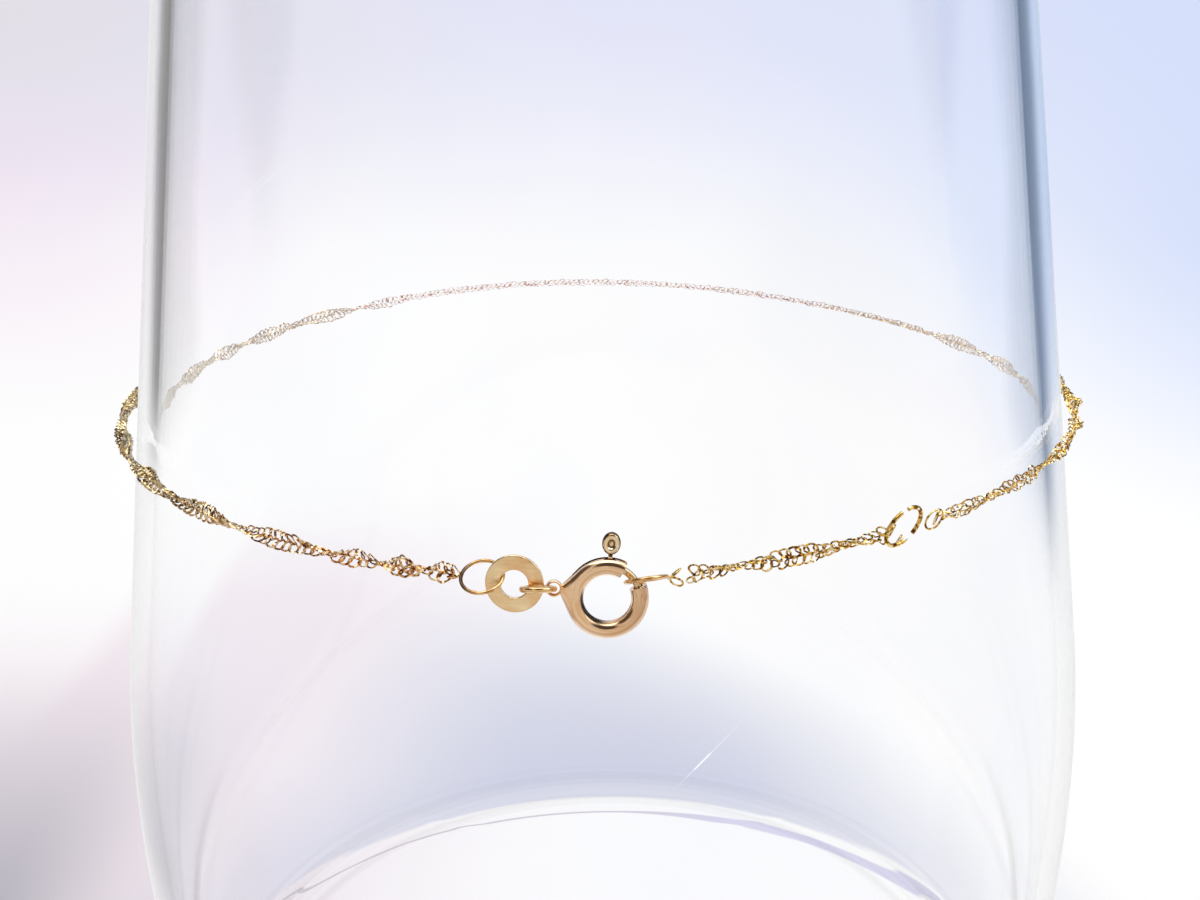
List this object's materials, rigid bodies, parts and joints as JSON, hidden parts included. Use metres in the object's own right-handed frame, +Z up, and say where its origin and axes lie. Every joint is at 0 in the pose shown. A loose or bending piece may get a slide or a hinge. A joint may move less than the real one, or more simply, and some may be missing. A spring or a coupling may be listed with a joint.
{
  "type": "chain anklet on a clear glass display stand",
  "caption": "Fine twisted gold chain anklet closed by a spring-ring clasp, sitting round an upright clear glass that serves as its stand.",
  "frame": {"origin": "centre of the glass's flat base, where it rests", "axes": "+Z up the glass, -Y towards the front, where the clasp is, +X to the right as seen from the front"},
  "size_m": [0.0848, 0.0848, 0.1138],
  "materials": {
    "clear_glass": "clear, smooth",
    "gold_chain": "polished yellow-rose gold",
    "gold_clasp": "polished yellow-rose gold",
    "gold_rings": "polished yellow-rose gold",
    "gold_flat": "finely brushed yellow-rose gold"
  },
  "bodies": {
    "anklet": {"glass_stand": "clear_glass", "chain": "gold_chain", "clasp_ring": "gold_clasp", "end_ring": "gold_rings", "clasp_link": "gold_rings", "flat_ring": "gold_flat", "jump_ring": "gold_rings"},
    "bolt": {"clasp_bolt": "gold_clasp"}
  },
  "joints": [
    {"name": "clasp_lever", "type": "hinge", "parent": "anklet", "child": "bolt", "pos_m": [0.00033, -0.0401, 0.06419], "axis": [0, -0.9903, 0.1392], "range_deg": [0, 50], "stiffness_Nm_per_rad": 0.0002, "springref_deg": -20.05}
  ]
}
